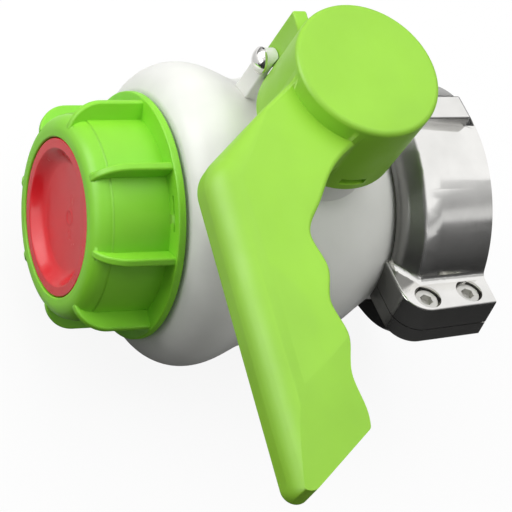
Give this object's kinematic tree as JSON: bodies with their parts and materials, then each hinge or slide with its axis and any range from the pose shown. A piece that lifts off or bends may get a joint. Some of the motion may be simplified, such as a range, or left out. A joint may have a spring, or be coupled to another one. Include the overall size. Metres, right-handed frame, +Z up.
{
  "type": "ibc ball valve",
  "caption": "Quarter-turn plastic ball valve for a bulk container outlet, with a lever handle, a ribbed screw cap with a dished closing disc and a bolted two-piece tank clamp.",
  "frame": {"origin": "on the flow axis, in the tank-side face of the clamp", "axes": "+Y along the flow axis towards the tank, +Z up the stem towards the handle's hub, +X towards the tip of the closed handle"},
  "size_m": [0.1901, 0.1412, 0.1388],
  "materials": {
    "white_plastic": "natural white polyethylene, slightly translucent, satin",
    "seal_rubber": "black elastomer",
    "ball_plastic": "smooth turned polypropylene",
    "seat_plastic": "white sliding plastic",
    "stem_plastic": "grey glass-filled plastic",
    "green_plastic": "satin lime green moulding",
    "plated_screw": "bright plated steel",
    "cast_aluminium": "polished casting",
    "bolt_steel": "plated steel",
    "red_plastic": "satin red moulding"
  },
  "bodies": {
    "valve": {"valve_body": "white_plastic", "inlet_neck": "white_plastic", "outlet_end_piece": "white_plastic", "end_piece_oring": "seal_rubber", "seat_ring_inlet": "seat_plastic", "seat_ring_outlet": "seat_plastic", "seat_oring_inlet": "seal_rubber", "seat_oring_outlet": "seal_rubber", "flange_gasket": "seal_rubber", "lock_screw": "plated_screw", "clamp_upper_half": "cast_aluminium", "clamp_lower_half": "cast_aluminium", "clamp_bolts": "bolt_steel"},
    "handle": {"handle": "green_plastic", "stem": "stem_plastic", "ball": "ball_plastic", "stem_oring_lower": "seal_rubber", "stem_oring_upper": "seal_rubber", "stem_thrust_washer": "seat_plastic"},
    "cap_plate": {"cap_disc": "red_plastic", "cap_gasket": "seal_rubber"},
    "cap_ring": {"cap_ring": "green_plastic"}
  },
  "joints": [
    {"name": "handle_turn", "type": "hinge", "parent": "valve", "child": "handle", "pos_m": [0, -0.066, 0], "axis": [0, 0, 1], "range_deg": [-90, 0]},
    {"name": "cap_advance", "type": "slide", "parent": "valve", "child": "cap_plate", "axis": [0, -1, 0], "range_m": [0, 0.0151]},
    {"name": "cap_turn", "type": "hinge", "parent": "cap_plate", "child": "cap_ring", "pos_m": [0, -0.125, 0], "axis": [0, -1, 0], "range_deg": [0, 900]}
  ],
  "couplings": [
    {"joint": "cap_advance", "follows": "cap_turn", "m_per_rad": 0.00095493}
  ]
}
